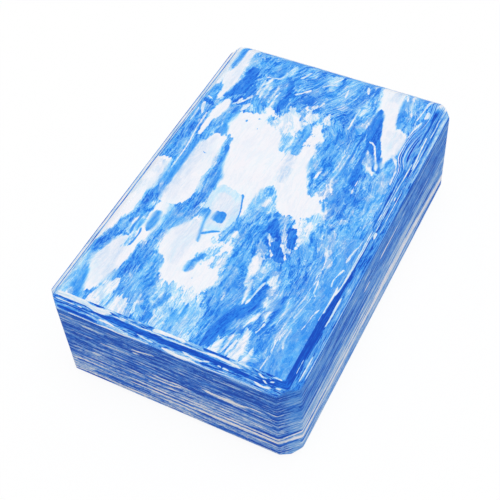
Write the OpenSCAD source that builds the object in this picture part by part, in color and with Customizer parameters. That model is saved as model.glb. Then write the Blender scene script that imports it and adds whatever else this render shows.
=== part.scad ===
/* [Block] */
// Width of the block, left to right along X
block_width = 150; // [60:1:300]
// Length of the block, front to back along Y
block_length = 230; // [60:1:400]
// Thickness of the block, from the base up to the top face
block_height = 70; // [30:1:150]

/* [Cut edges] */
// How far the bevels round the top face and the base reach in from the sides
bevel_inset = 7.8; // [2:0.1:12]
// How far those bevels run down or up the sides
bevel_drop = 5.2; // [2:0.1:12]
// Leg of the 45 degree chamfers on the four upright corners
corner_chamfer = 9.6; // [2:0.1:14]
// Radius that softens every cut edge of the foam
edge_radius = 1.6; // [0.5:0.1:3]

/* [Colour] */
// Mean colour of the blue and white marbled foam
foam_colour = "cornflowerblue"; // [cornflowerblue, dodgerblue, skyblue, royalblue]

/* [Hidden] */
$fn = 48;

// Outline of a rectangle centred on the origin, with cut_x by cut_y taken off
// each of its corners. The points run counter-clockwise.
function cut_rectangle(size_x, size_y, cut_x, cut_y) =
    let (half_x = size_x / 2, half_y = size_y / 2)
    [
        [half_x, cut_y - half_y],
        [half_x, half_y - cut_y],
        [half_x - cut_x, half_y],
        [cut_x - half_x, half_y],
        [-half_x, half_y - cut_y],
        [-half_x, cut_y - half_y],
        [cut_x - half_x, -half_y],
        [half_x - cut_x, -half_y]
    ];

// Outward unit normal of the side that leaves point i of an outline
function side_normal(outline, i) =
    let (along = outline[(i + 1) % len(outline)] - outline[i])
    [along.y, -along.x] / norm(along);

// The same normal for the side that arrives at point i
function normal_before(outline, i) =
    side_normal(outline, (i + len(outline) - 1) % len(outline));

// Centre of the arc of the given radius that rounds point i of an outline
function arc_centre(outline, i, radius) =
    let (before = normal_before(outline, i), after = side_normal(outline, i))
    outline[i] - radius * (before + after) / (1 + before * after);

// A convex outline with an arc at each point: the flat sides end where the
// arcs are tangent to them
module rounded_outline(outline, radius) {
    points = [0 : len(outline) - 1];
    polygon([
        for (i = points)
            let (centre = arc_centre(outline, i, radius))
            each [
                centre + radius * normal_before(outline, i),
                centre + radius * side_normal(outline, i)
            ]
    ]);
    for (i = points)
        translate(arc_centre(outline, i, radius))
            circle(r = radius);
}

// Plan of the block, with the chamfers of its upright corners
module plan_prism() {
    linear_extrude(height = block_height)
        rounded_outline(
            cut_rectangle(block_width, block_length, corner_chamfer, corner_chamfer),
            edge_radius
        );
}

// Prism along Y whose section has the bevels of the long sides
module long_side_prism() {
    translate([0, block_length / 2, block_height / 2])
        rotate([90, 0, 0])
            linear_extrude(height = block_length)
                rounded_outline(
                    cut_rectangle(block_width, block_height, bevel_inset, bevel_drop),
                    edge_radius
                );
}

// Prism along X whose section has the bevels of the short sides
module short_side_prism() {
    translate([-block_width / 2, 0, block_height / 2])
        rotate([90, 0, 90])
            linear_extrude(height = block_width)
                rounded_outline(
                    cut_rectangle(block_length, block_height, bevel_inset, bevel_drop),
                    edge_radius
                );
}

// One piece of foam, with every edge cut off flat and softened. The bevels
// meet in mitres above and below each corner chamfer.
module foam_block() {
    color(foam_colour)
        intersection() {
            plan_prism();
            long_side_prism();
            short_side_prism();
        }
}

foam_block();
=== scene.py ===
"""The looks of the marbled foam yoga block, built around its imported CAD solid.

Sizes are in millimetres, as in the part's source, and MM turns them into Blender's metres.
The photograph sees the top, the front (-Y) and the right side (+X) of the block.
"""

import math
from functools import partial
from types import SimpleNamespace
from typing import NamedTuple

import bpy
import numpy as np
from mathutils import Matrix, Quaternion, Vector, noise


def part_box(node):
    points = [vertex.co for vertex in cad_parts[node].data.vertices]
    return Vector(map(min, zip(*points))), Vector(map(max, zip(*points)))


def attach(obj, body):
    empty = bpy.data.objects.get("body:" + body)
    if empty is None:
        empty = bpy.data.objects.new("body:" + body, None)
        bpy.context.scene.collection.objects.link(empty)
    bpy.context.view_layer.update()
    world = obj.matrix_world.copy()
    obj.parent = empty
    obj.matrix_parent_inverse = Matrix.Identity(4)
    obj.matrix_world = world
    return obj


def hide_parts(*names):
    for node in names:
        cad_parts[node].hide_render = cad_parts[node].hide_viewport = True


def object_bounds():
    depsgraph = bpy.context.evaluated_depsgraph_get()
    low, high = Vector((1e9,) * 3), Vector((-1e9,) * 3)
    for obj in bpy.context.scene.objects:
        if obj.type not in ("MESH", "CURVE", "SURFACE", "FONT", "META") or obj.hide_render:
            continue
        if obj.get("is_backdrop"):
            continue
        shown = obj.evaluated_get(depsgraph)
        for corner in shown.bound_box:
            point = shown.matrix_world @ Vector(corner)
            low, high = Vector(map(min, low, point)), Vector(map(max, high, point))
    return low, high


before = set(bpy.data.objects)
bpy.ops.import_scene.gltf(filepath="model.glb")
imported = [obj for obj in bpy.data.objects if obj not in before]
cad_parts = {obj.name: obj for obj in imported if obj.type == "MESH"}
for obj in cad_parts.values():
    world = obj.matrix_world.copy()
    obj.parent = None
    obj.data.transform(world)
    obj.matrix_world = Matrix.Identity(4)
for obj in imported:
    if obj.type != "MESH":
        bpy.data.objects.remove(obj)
cad_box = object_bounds()

MM = 0.001

# The block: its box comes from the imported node, its cuts repeat the part's source.
NODE = "foam_block"
LOW, HIGH = (np.array(corner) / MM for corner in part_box(NODE))
HALF = (HIGH - LOW) / 2
CENTRE = (HIGH + LOW) / 2
BEVEL_INSET = 7.8
BEVEL_DROP = 5.2
CORNER_CHAMFER = 9.6
EDGE_SHARPNESS = 4.0  # per mm: about a 3 mm radius on the top edges and 1 mm below the bevels

# The mesh: even lines over the flat middle of each face, closer ones over its rim.
RIM_WIDTH = np.array([14.0, 14.0, 12.7])
RIM_LINES = 22
FLAT_STEP = np.array([2.0, 2.0, 1.0])
HALVINGS = 30  # of the span in which the surface is looked for along each ray

# The relief: slight waves, and flat cells along the foam's layers.
WAVE_DEPTH = 0.12
WAVE_SIZE = 22.0
STRATA_DEPTH = 0.05
STRATA_SIZE = np.array([30.0, 30.0, 0.9])

# The camera, fitted to the photograph's edges of the block.
CAMERA_AZIMUTH = math.radians(30.815)
CAMERA_ELEVATION = math.radians(50.972)
CAMERA_ROLL = math.radians(-4.945)
CAMERA_AIM = Vector((-1.18, -15.73, 35.0))
CAMERA_DISTANCE = 610.9
CAMERA_LENS = 74.79
CAMERA_SENSOR = 36.0

# The light: the sky and the lamp give a level face its own colour between them.
SKY_LEVEL = 0.5
LAMP_LEVEL = 0.5
LAMP_SPREAD = math.radians(50)
LAMP_TILT = math.radians(8)
LAMP_AZIMUTH = math.radians(70)
FLOOR_SIDE = 6.0  # metres
FLOOR_COLOUR = 0.9
FLOOR_ROUGHNESS = 0.9
SHADOW_SHARE = 0.08  # how much of the floor's own shading the camera sees
WHITE = (1, 1, 1, 1)

# The foam's surface.
PORE_SIZE = 0.35
GRAIN_SIZE = (2.2, 2.2, 0.7)
BUMP_DEPTH = 0.2
BUMP_STRENGTH = 0.15
ROUGHNESS = 0.82
ROUGHNESS_SPREAD = 0.08
SPECULAR = 0.25

# Foam colours: red, green and blue of 0 to 255, at tones from the deepest blue to white. Every
# tone runs from a lavender cast to a cyan one.
FACE_TONES = (0.0, 0.05, 0.10, 0.20, 0.32, 0.45, 0.60, 0.75, 0.88, 1.0)
FACE_LAVENDERS = (
    (2, 62, 190), (17, 96, 215), (36, 122, 232), (62, 144, 237), (95, 163, 238),
    (124, 181, 241), (157, 199, 243), (191, 216, 245), (220, 231, 247), (246, 245, 251),
)
FACE_CYANS = (
    (2, 68, 196), (17, 107, 223), (35, 135, 239), (60, 160, 246), (92, 179, 250),
    (122, 197, 252), (156, 214, 252), (190, 230, 253), (218, 241, 253), (246, 248, 253),
)
# The sides' palette paints their light into the colour: greyer, warmer and duller than the face's, as the
# sides look under their own light.
SIDE_TONES = (0.0, 0.05, 0.17, 0.33, 0.50, 0.67, 0.83, 1.0)
SIDE_LAVENDERS = (
    (16, 76, 184), (32, 102, 207), (65, 126, 214), (103, 151, 220),
    (139, 172, 224), (176, 197, 225), (213, 219, 227), (250, 239, 234),
)
SIDE_CYANS = (
    (16, 82, 190), (32, 113, 219), (65, 139, 227), (103, 162, 230),
    (139, 183, 233), (176, 206, 239), (213, 228, 244), (250, 243, 246),
)

# The top face: where its marbling ends at the bevels and corner cuts, and the stretches of x or y
# over which its stirring, its leaning and its feathering set in.
FACE_LEFT, FACE_RIGHT = -69.7, 66.7
FACE_FRONT, FACE_BACK = -106.6, 112.5
CORNER_MARGIN = 1.2
STIR_RIGHT = (5.0, 35.0)
STIR_BACK = (50.0, 85.0)
LEAN_BACK = (55.0, 75.0)
LEAN_FRONT = (-20.0, -80.0)
FEATHER_FRONT = (-60.0, -90.0)

# The sides: the height at which they are palest, and the rise of the far bevels' deep line.
PALE_HEIGHT = 18.0
FAR_LINE_RISE = 2.65  # from the foot of the bevel

# The marbling of the top face. A stroke lists (y, left x, right x) from the back to the front.
LIGHTER_BLUES = [
    [(112, 10, 17), (100, 10, 17), (90, 7, 14), (80, 8, 14)],
    [(112, 48, 56), (96, 50, 58)],
    [(-62, 44.5, 47.5), (-80, 45.5, 49)],
    [(60, 30, 34), (50, 27, 37), (38, 25, 37)],
    [(42, 54, 61), (36, 54.5, 63), (28, 57, 64), (15, 59, 65), (0, 60, 65)],
    [(-10, 0, 10), (-22, -2, 6)],
    [(-84, -35, -27), (-96, -36, -26)],
]
DEEPER_BLUES = [
    [(108, -37, -34), (98, -38, -33), (92, -38, -34)],
    [(90, -13, -6), (84, -14, -2), (75, -13, -2)],
    [(86, -29, -25), (72, -28, -24)],
    [(92, 20, 23.5), (80, 18, 23.6), (66, 19, 24), (52, 20.5, 26), (36, 22, 28)],
    [(78, 28, 31), (68, 26.6, 33), (56, 26, 31.5)],
    [(34, -65, -61.5), (26, -66, -60.5), (14, -65.5, -61)],
    [(20, -56, -52.5), (6, -56, -53), (-4, -56.5, -53)],
    [(-15, -57, -53), (-28, -59.5, -53.5), (-40, -59, -53)],
    [(18, -33.5, -31), (4, -32.5, -27.2), (-12, -31, -27), (-24, -33, -29)],
    [(22, 40, 47), (10, 41, 52), (0, 41, 50)],
    [(-58, -65, -61), (-66, -67.6, -62), (-73, -67, -63)],
    [(-57, -42, -38), (-66, -43.8, -38.4), (-76, -44, -39), (-82, -43, -39)],
    [(-60, -36, -33.6), (-66, -36, -33)],
    [(-45, 45, 51.5), (-52, 43.5, 51.5), (-60, 45, 50)],
    [(-45, 10, 14), (-58, 9, 14)],
    [(112, 20, 26), (90, 20, 26)],
    [(64, -50, -42), (57, -50, -43)],
    [(-28, -40, -34), (-46, -39, -35)],
    [(-58, 10, 20), (-68, 11, 25), (-80, 12, 27), (-90, 13, 24)],
    [(-78, 30, 37), (-92, 28, 34)],
    [(-70, 38, 46), (-96, 40, 46)],
]
CALM_BLUES = [
    [(-20, 62, 72), (-40, 61, 72), (-60, 60.5, 72), (-78, 58.5, 72), (-92, 56, 72), (-110, 53, 72)],
    [(112, -33, -24), (104, -36, -30)],
]
WHITES = [
    # back left: a band with a pale margin beside it
    [(115, -62.3, -57.6), (92, -62.3, -57.4), (84, -65, -56), (78, -65.5, -55.8), (73, -63, -56.6),
     (67, -61.6, -57.6), (59, -60.3, -59.4)],
    [(115, -75, -66.2), (90, -75, -66), (75, -75, -65.2), (68, -75, -67.4), (62, -75, -69)],
    # left: a neck, the long strip below it and the ring
    [(61.5, -53, -51.4), (58, -55.5, -50.5), (50, -58.5, -49), (45, -57.6, -52), (40, -57.4, -54),
     (32, -57, -53.8), (27, -56.2, -55)],
    [(33, -45.5, -39.4), (29, -47.6, -38), (24, -49.4, -37.8), (14, -50.4, -37.4), (8, -50.8, -35.8),
     (-4, -50.8, -36), (-12, -50.8, -35.4), (-19, -50.8, -35), (-24, -51, -37), (-28.5, -51.2, -42)],
    [(-29, -49, -43), (-32, -50.2, -42), (-45, -50.2, -41.8), (-54, -50, -43), (-60, -50, -44.6),
     (-69, -48, -45.4)],
    # the large clouds in the middle
    [(64.5, -26, -23.5), (61, -27.8, -20), (57, -31, -12), (54.5, -40, -8), (50, -42.2, 0), (44, -43.3, 0),
     (38, -41, 0), (34, -38.8, 0), (32.5, -34.2, 0), (27, -34, 0), (23, -32, 0), (16, -30.6, 0),
     (8, -29, 0), (3, -26.3, 0), (-2, -25.8, 0), (-6, -25.8, 0)],
    [(65, 7.4, 8.6), (60, 6.4, 9.4), (56, 6, 14.6), (48, 5.8, 15), (42, 0, 14.2), (35, 0, 14.4),
     (27, -1, 16.4), (20, -1, 19), (13, -1, 22.6), (8.5, -1, 25.6), (6.5, -1, 33.5), (2, -1, 37.5),
     (-1.5, -1, 40), (-5, -1, 36), (-9, 10, 24)],
    [(14, 30.6, 33), (8, 28.2, 34.6), (4, 27, 36)],
    [(-4, 21, 33), (-8, 23.4, 32.4), (-13, 26, 33), (-18, 29.5, 34), (-24, 33.2, 35.8), (-29, 35, 35.6)],
    [(-3, -26, -1), (-8, -10, -1.6), (-15, -8, -2), (-21, -5, -3)],
    # below the middle
    [(-29, -24.4, -20), (-33, -26.6, -19), (-39, -29, -17), (-44, -32.4, -12), (-50, -34.2, -8),
     (-59, -33.6, -5), (-63, -29, -5), (-66, -25.4, -5), (-73, -25.2, -5), (-78, -23, -9),
     (-82, -20.5, -18.5)],
    [(-27, -20, -5), (-34, -19, -4.5), (-44, -16, -5), (-56, -13, -5)],
    [(-30.5, -1.6, 0), (-34, -3, 2), (-42, -6, 2.6), (-50, -8, 3.4), (-58, -8, 5), (-66, -8, 5.6),
     (-72, -8, 4.6), (-76, -8, 2), (-79, -8, -3)],
    # left edge and lower left
    [(3, -66, -61), (-3, -75, -60), (-20, -75, -59.2), (-27, -75, -61), (-42, -75, -61), (-46, -75, -63.2),
     (-56, -75, -64.6), (-62, -75, -67), (-68, -75, -69)],
    [(-59, -55, -52.6), (-64, -57.2, -50.5), (-69, -59.6, -46), (-76, -61.8, -45.4), (-81, -63, -46.4),
     (-86, -61.8, -49), (-92, -59.6, -49.5), (-97, -58, -50.5), (-101, -57, -55)],
    # the wedge at the back right
    [(115, 29.8, 45.4), (106, 31, 45.2), (100, 32.8, 45.6), (93, 34.2, 46.4), (86, 35, 48), (79, 36, 50.4),
     (75.5, 36, 57.4), (66, 38, 59.4), (59, 44, 59), (54, 50.4, 56.8), (50, 53.4, 55.4), (46, 54.6, 55.2)],
    [(44, 46, 48.4), (41, 48, 51.4), (38, 51.4, 52.6)],
]
VEILS = [
    [(36, 1, 4), (26, 2, 7.5), (12, 4, 8.5)],
    [(-33, -25.5, -22), (-48, -24.5, -21), (-60, -23, -20)],
    [(24, -51, -48), (8, -52, -46), (-14, -52, -47)],
    [(-62, -54, -51.5), (-76, -52.5, -50.5), (-90, -51.5, -49.5)],
    [(-70, -60, -57), (-84, -61, -57)],
    [(104, -70, -67), (80, -70, -66.5), (62, -70, -68)],
    [(75, 53, 57), (62, 53, 56)],
    [(112, 40, 44), (100, 41, 44)],
    [(0, -66, -62), (-10, -66, -62.5)],
    [(-18, -69, -66.5), (-30, -69, -67)],
]
EYE_VEIL = [
    [(-3.5, -23, -18), (-5.5, -24.6, -11), (-7, -25, -8.5), (-15, -26, -5.4), (-21, -25.6, -4),
     (-24, -23, -3.4), (-31, -21.5, -5), (-36, -20, -9)],
]
HAZES = [
    [(30, -45, -44), (10, -50, -44), (-10, -51, -45), (-24, -49, -47)],
    [(-9, -21, -15), (-13, -22.5, -9.5), (-20, -22, -8), (-32, -18, -8)],
    [(-38, -24, -22), (-48, -29, -19), (-56, -27, -18), (-66, -23, -20)],
    [(-60, -55, -53), (-72, -60, -52), (-84, -60, -53), (-94, -56, -53)],
    [(110, -61, -57), (80, -62, -57), (66, -60, -58)],
    [(74, 50, 56), (60, 51, 56)],
]
PALE_BLUES = [
    [(63, -38, -35), (58, -39.5, -33)],
    [(86, -37, -34.6), (80, -39, -34.4), (72, -39, -34.4)],
    [(53, -12, -8), (49, -11, -4), (45, -8.6, 2), (40, -7, 2), (34, -5.4, -3.6)],
    [(7, 3, 5), (4.5, 0.4, 8), (0, -1.2, 10.3), (-6, -1.8, 12.4), (-12, -1.6, 13)],
    [(-1, 38, 41), (-5, 33, 41.5), (-10, 31.5, 41.5), (-15, 34, 41), (-23, 37, 39)],
    [(-78, -22, 4), (-84, -21, 9), (-92, -19, 12), (-100, -14, 11), (-115, -13, 9)],
    [(-43, -54, -51.6), (-50, -56, -51), (-57, -55.6, -50.6)],
    [(-33, -7, -1), (-42, -7.4, -1.8), (-50, -8.4, -3), (-57, -11, -6)],
    [(-44, -0.5, 1.5), (-52, 1, 4.6), (-60, -3, 2)],
    [(-44, 24.5, 28), (-50, 24, 29.6), (-58, 24.4, 28.4), (-62, 25.4, 27)],
    [(-64, -33.5, -31.5), (-72, -33.5, -32.5), (-80, -33.5, -32)],
    [(-93, -26, -21), (-104, -25, -21)],
    [(44, -50, -47), (38, -50.5, -46.5), (31, -50.5, -47)],
    [(-76, -75, -66.5), (-88, -75, -63.5), (-100, -75, -63), (-115, -75, -62)],
    [(-29, -43, -41), (-33, -42, -40), (-50, -42, -40.4), (-60, -43.2, -41.6)],
    [(-95, -42.5, -39.6), (-107, -43.5, -39)],
    [(-57, -53.5, -50), (-66, -53, -49.5)],
    [(-31, -53.5, -51.5), (-38, -54.5, -51.5)],
    [(104, -29, -26), (95, -28, -25)],
    [(-21, -27.5, -24), (-25, -27.8, -23), (-31, -27.5, -21.4)],
    [(106, -4, 4), (99, -2.4, 4.4), (95, 0, 3)],
    [(90, 25.4, 29.6), (84, 25, 30), (79, 26, 28.6)],
]
AZURES = [
    # streaks of the back left corner
    [(115, -65.6, -62.7), (97, -65.6, -62.4), (89, -65.4, -63)],
    [(73, -64.8, -62.4), (68, -67.6, -60.8), (62, -69, -60.6), (57, -70, -58.5), (52, -68.6, -57.5),
     (47, -69, -60)],
    [(62, -50, -43), (55, -49.5, -42.5), (47, -51, -43.5), (41, -53.2, -46), (35, -53.6, -50),
     (26, -52.6, -50)],
    # crumbs in the top of the white
    [(64, -35, -31), (60, -34.5, -29.5), (57, -32, -30)],
    [(71, -18, -14.8), (62, -17.8, -15.2)],
    [(58.5, -20.8, -18.7), (55, -21.8, -18), (52, -20.5, -18.8)],
    [(65, 1, 4), (60, -1, 5.4), (54, 0.2, 6), (46, 0.3, 6.8), (40, 1, 6.8), (34, 2.4, 5.4)],
    [(64.5, 9.6, 10.8), (60, 9.4, 11)],
    # the dome, and spots beside the ring and the eye
    [(5, 3, 5.4), (2.5, 1.6, 7.2), (-0.5, 3, 6.8)],
    [(-23, -27, -21.5), (-27, -28.5, -20.6), (-30.5, -28, -24)],
    [(-92, -6, -2), (-99, -5.5, -1), (-107, -5, -1)],
    # lower left
    [(-86, -63.8, -62.4), (-92, -62.6, -59.6), (-97, -62, -58), (-101, -62, -55.5), (-115, -62, -51.5)],
    [(-17, 0, 2), (-24, -3, 2), (-30, -5.4, 0.6), (-36, -6.4, -3), (-42, -6, -5)],
    [(-85, -14.8, -12.4), (-94, -14.8, -12.4)],
    # the ball of the back right
    [(53, 57, 59.5), (50, 56, 62), (44, 56.6, 62.6), (39, 58, 61)],
]
EYES = [
    [(-52, -8.6, -6), (-58, -11.5, -8), (-61, -13.6, -9.4), (-66, -13.4, -9.8), (-68, -12.6, -11)],
    [(-35.5, -47.5, -45.6), (-38, -48.6, -44.3), (-44, -48.5, -43.3), (-48, -48, -43.6),
     (-51.5, -46.8, -45)],
    [(-21.8, -15.5, -10.8), (-23, -17, -9.9), (-28, -16.8, -9.4), (-30, -14.6, -10.4)],
    [(41, -46, -43.5), (38, -46.6, -41.6), (35.5, -47.6, -41), (32, -48, -45.8)],
    [(36, -43.8, -41), (31.6, -43, -41.4)],
    [(15.4, -46.5, -45.4), (14.4, -45.2, -44)],
    [(-98, -16.6, -13.6), (-102, -17, -12.4), (-106, -16.4, -12.4)],
    [(-85, -0.8, 0.2), (-91, 0, 1.8), (-99, 0.8, 1.7)],
    [(112, -65, -62.8), (99, -65.2, -62.6), (90, -65, -63.4)],
    [(23, -54.4, -52.6), (8, -55, -52.2), (-6, -54.8, -52), (-14, -53.5, -51.8)],
    [(26, -34.8, -33.8), (18, -33, -31.8), (10, -31.6, -30.6), (5, -29.4, -28), (0, -28.4, -27),
     (-10, -28, -27.2), (-20, -28.6, -28)],
    [(-87, -63.4, -62.6), (-93, -62, -59.8), (-98, -61, -58.6), (-106, -60, -55.4)],
    [(22, -55, -52.8), (10, -55.4, -52.2), (0, -55.4, -52), (-8, -55.8, -52), (-17, -54.4, -52.6)],
    [(104, 46.2, 47.4), (92, 47.4, 48.8), (84, 49, 50.4), (79, 51.4, 52.4)],
    [(49.5, -35.2, -33.9), (47.6, -35, -34)],
    [(53.8, -28.6, -27.2), (52.4, -28.4, -27.4)],
    [(45.6, -25.8, -25), (44.4, -25.6, -25)],
    [(-97, -50.4, -49.2), (-98, -50.4, -49)],
]
DEEP_BLUES = [
    # back left, the tooth beside the wedge, and the back
    [(94, -51.8, -47.8), (85, -53.6, -45.5), (76, -55, -45), (70, -55.8, -46.4), (66, -57, -51),
     (63, -58.2, -55.4)],
    [(80, -44.5, -42.8), (70, -46, -41.6), (64, -49, -41), (60, -50, -44)],
    [(59, -45.4, -43.2), (51, -46.2, -43.8)],
    [(57, -67.6, -63.6), (55, -67.4, -60.4), (53, -62, -59)],
    [(90, 35.8, 37.8), (84, 34.4, 40.4), (75, 35, 43.2), (68, 36.4, 45.2), (62, 41, 47.8), (57, 45.8, 50),
     (50, 49, 52.8), (43, 52, 54.6), (40, 53.6, 54.6)],
    [(67, 37.4, 44), (61, 39, 45.4), (55, 42.2, 46.8), (48, 46.8, 49.4), (41, 51, 53)],
    [(59, 39.5, 41.5), (45, 40.4, 44), (36, 40.6, 46), (26, 42, 47.5)],
    [(107, 5.4, 6.6), (101, 5.6, 6.8)],
    [(84, -10, -5), (80, -12, -3), (76, -11, -4)],
    [(105, 24.2, 26.4), (98, 24.4, 26)],
    [(109, 27, 29), (101, 27.4, 28.8)],
    [(92, -25.5, -24), (80, -23.5, -19.6), (66, -22.8, -19), (62, -21.8, -20)],
    [(86, 35, 36), (60, 34.8, 36), (30, 34.6, 36)],
    # the dark knots right of the lower middle
    [(-10, 15, 17.4), (-14, 14.2, 19.6), (-18, 14.8, 20.6), (-22, 15.4, 23), (-26, 16.4, 26), (-31, 18, 31),
     (-36, 21.5, 34), (-41, 26, 35)],
    [(-16.5, 27.6, 29.2), (-18.6, 25, 30.6), (-21, 25.5, 32.4), (-25, 27, 34), (-30, 29, 35.4)],
    [(-54, 32.4, 33.6), (-58, 31.2, 35.6), (-66, 30.2, 36.6), (-73, 26.6, 34.8), (-80, 21.4, 31.4),
     (-87, 19.4, 28.4), (-94, 17.8, 25.6), (-105, 17, 22)],
    [(-60, 43.4, 46), (-70, 41.8, 45.2), (-88, 41.2, 43.4)],
    [(-76, 37.8, 39.2), (-84, 35.2, 36.8), (-92, 32, 33.2)],
]
KNOT_VEILS = [
    [(-10, 18.6, 21), (-14, 20.4, 23), (-19, 23, 24.6), (-24, 26.2, 27.2), (-29, 29.4, 30.4),
     (-34, 32.4, 33)],
    [(-26, 18, 19), (-30, 20.6, 22)],
    [(-10, 49.5, 51), (-16, 49.5, 54), (-22, 50, 55), (-28, 52, 54)],
    [(-34, 17, 19.4), (-40, 18, 22)],
    [(28, 31.6, 33.4), (20, 31.2, 34.4), (12, 30.4, 34.6)],
    [(42, 57, 60), (35, 57.6, 63.6), (27, 60.6, 65)],
    [(-47, 31, 34.6), (-51, 31.6, 37), (-57, 34.6, 39), (-62, 35.4, 42), (-67, 35.6, 42.4), (-71, 38, 43),
     (-76, 40.4, 43)],
    [(55, 42, 43), (50, 42.8, 46.2), (44, 43.8, 48.8)],
    [(-73.5, 38.6, 40), (-78, 36.4, 38.4), (-83, 34, 35.6), (-87.4, 32.4, 33.4)],
    [(-83.5, 29.6, 30.4), (-89.5, 26.6, 27.4)],
    [(1, 51, 52.6), (-2, 48.6, 51.4), (-5, 46, 50), (-8.5, 43, 46)],
    [(-54, 12.8, 13.8), (-66, 13.4, 14.8), (-76, 14.6, 15.2)],
]
CRUMBLY_WHITES = [
    [(70, -15.4, -12), (66, -13, -8), (62, -16.4, -4), (56, -17.4, -1), (50, -14, -5)],
    [(77, -2, 0.5), (73, -3.4, 1.6), (69, -3.4, 3.6), (66, -2.6, 4.4), (63, -1, 4)],
    [(73, 8.6, 10.6), (68, 8.2, 11), (64, 7.8, 9.4)],
    [(86, 26.8, 28.4), (80, 26, 28.6)],
    [(-2.5, 4.4, 8), (-8, 4, 7.6)],
    [(-9, 32, 36), (-16, 34.5, 38), (-20, 37.5, 39)],
    [(-40, 18.6, 20.4), (-44, 17.8, 23), (-50, 18.4, 23.4), (-57, 20, 22.4), (-62, 21.6, 22.4)],
    [(-47, 25.4, 27.6), (-51, 25.4, 28)],
    [(-87, -43.5, -41.2), (-91, -46.8, -40.6), (-98, -49.8, -42.4), (-115, -51.2, -43)],
    [(-96.5, -34.5, -32.5), (-99, -37.3, -29), (-115, -38.5, -28)],
    [(-97, 25.6, 26.6), (-100, 24.6, 27.2), (-104, 23.4, 28), (-115, 21, 28.6)],
    [(-88, 35.6, 36.4), (-93, 35.4, 38), (-98, 35.6, 39.6), (-104, 35, 40.4), (-115, 33.5, 41)],
    [(-98, 43.6, 44.4), (-101, 42.4, 44.8), (-115, 41, 45)],
    [(-77, -7, 1), (-81, -5, 2.5), (-85, -4, 1)],
    [(-50, 32.4, 34.6), (-54, 32, 37), (-58, 34.5, 37.6)],
    [(-64, 36, 36.8), (-72, 38.2, 39)],
    [(-75, 37.2, 37.9), (-81, 35, 35.7), (-86, 33, 33.2)],
    [(-73, 40.6, 41.1), (-80, 41.9, 42.3)],
]
BUNDLE = [
    [(-10, 56, 90), (-22, 52, 90), (-36, 49.5, 90), (-48, 50.5, 90), (-58, 53, 90), (-66, 52, 90),
     (-76, 49.5, 90), (-86, 49, 90), (-96, 49.5, 90), (-112, 48.5, 90)],
    [(24, 33, 36), (18, 34, 38.4), (8, 35.4, 40.4), (0, 38, 42.4), (-6, 41, 44)],
]
RIM = [
    [(125, 61, 90), (112, 61.5, 90), (95, 63.5, 90), (86, 62.4, 90), (75, 60.4, 90), (65, 59.8, 90),
     (57, 60.4, 90), (50, 63.4, 90), (42, 64.6, 90), (0, 66, 90), (-40, 66.8, 90), (-62, 68, 90)],
]
DARK_LINES = [
    [(-5.5, -9.4, -8.2), (-9, -7.7, -6.7), (-14, -5.8, -4.8), (-20, -4.2, -3.3), (-25, -3.3, -2.4)],
    [(-23, -21.5, -20), (-33, -19.9, -18.9), (-41, -18, -16.8), (-47, -16, -15.5)],
    [(-35.3, -9.6, -7.5), (-36.6, -12.6, -9.4), (-38.6, -15.4, -12.6), (-41, -18, -15.8)],
    [(-51, -49.8, -49), (-56, -48.9, -48), (-65, -49.8, -49)],
    [(-42, -54.4, -53), (-50, -54.4, -53.2), (-57, -53.8, -52.6)],
    [(-90, -39.6, -38.8), (-106, -39.4, -38.6)],
    [(12, 35, 35.8), (6, 36.2, 37), (1, 38.2, 39)],
]
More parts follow.
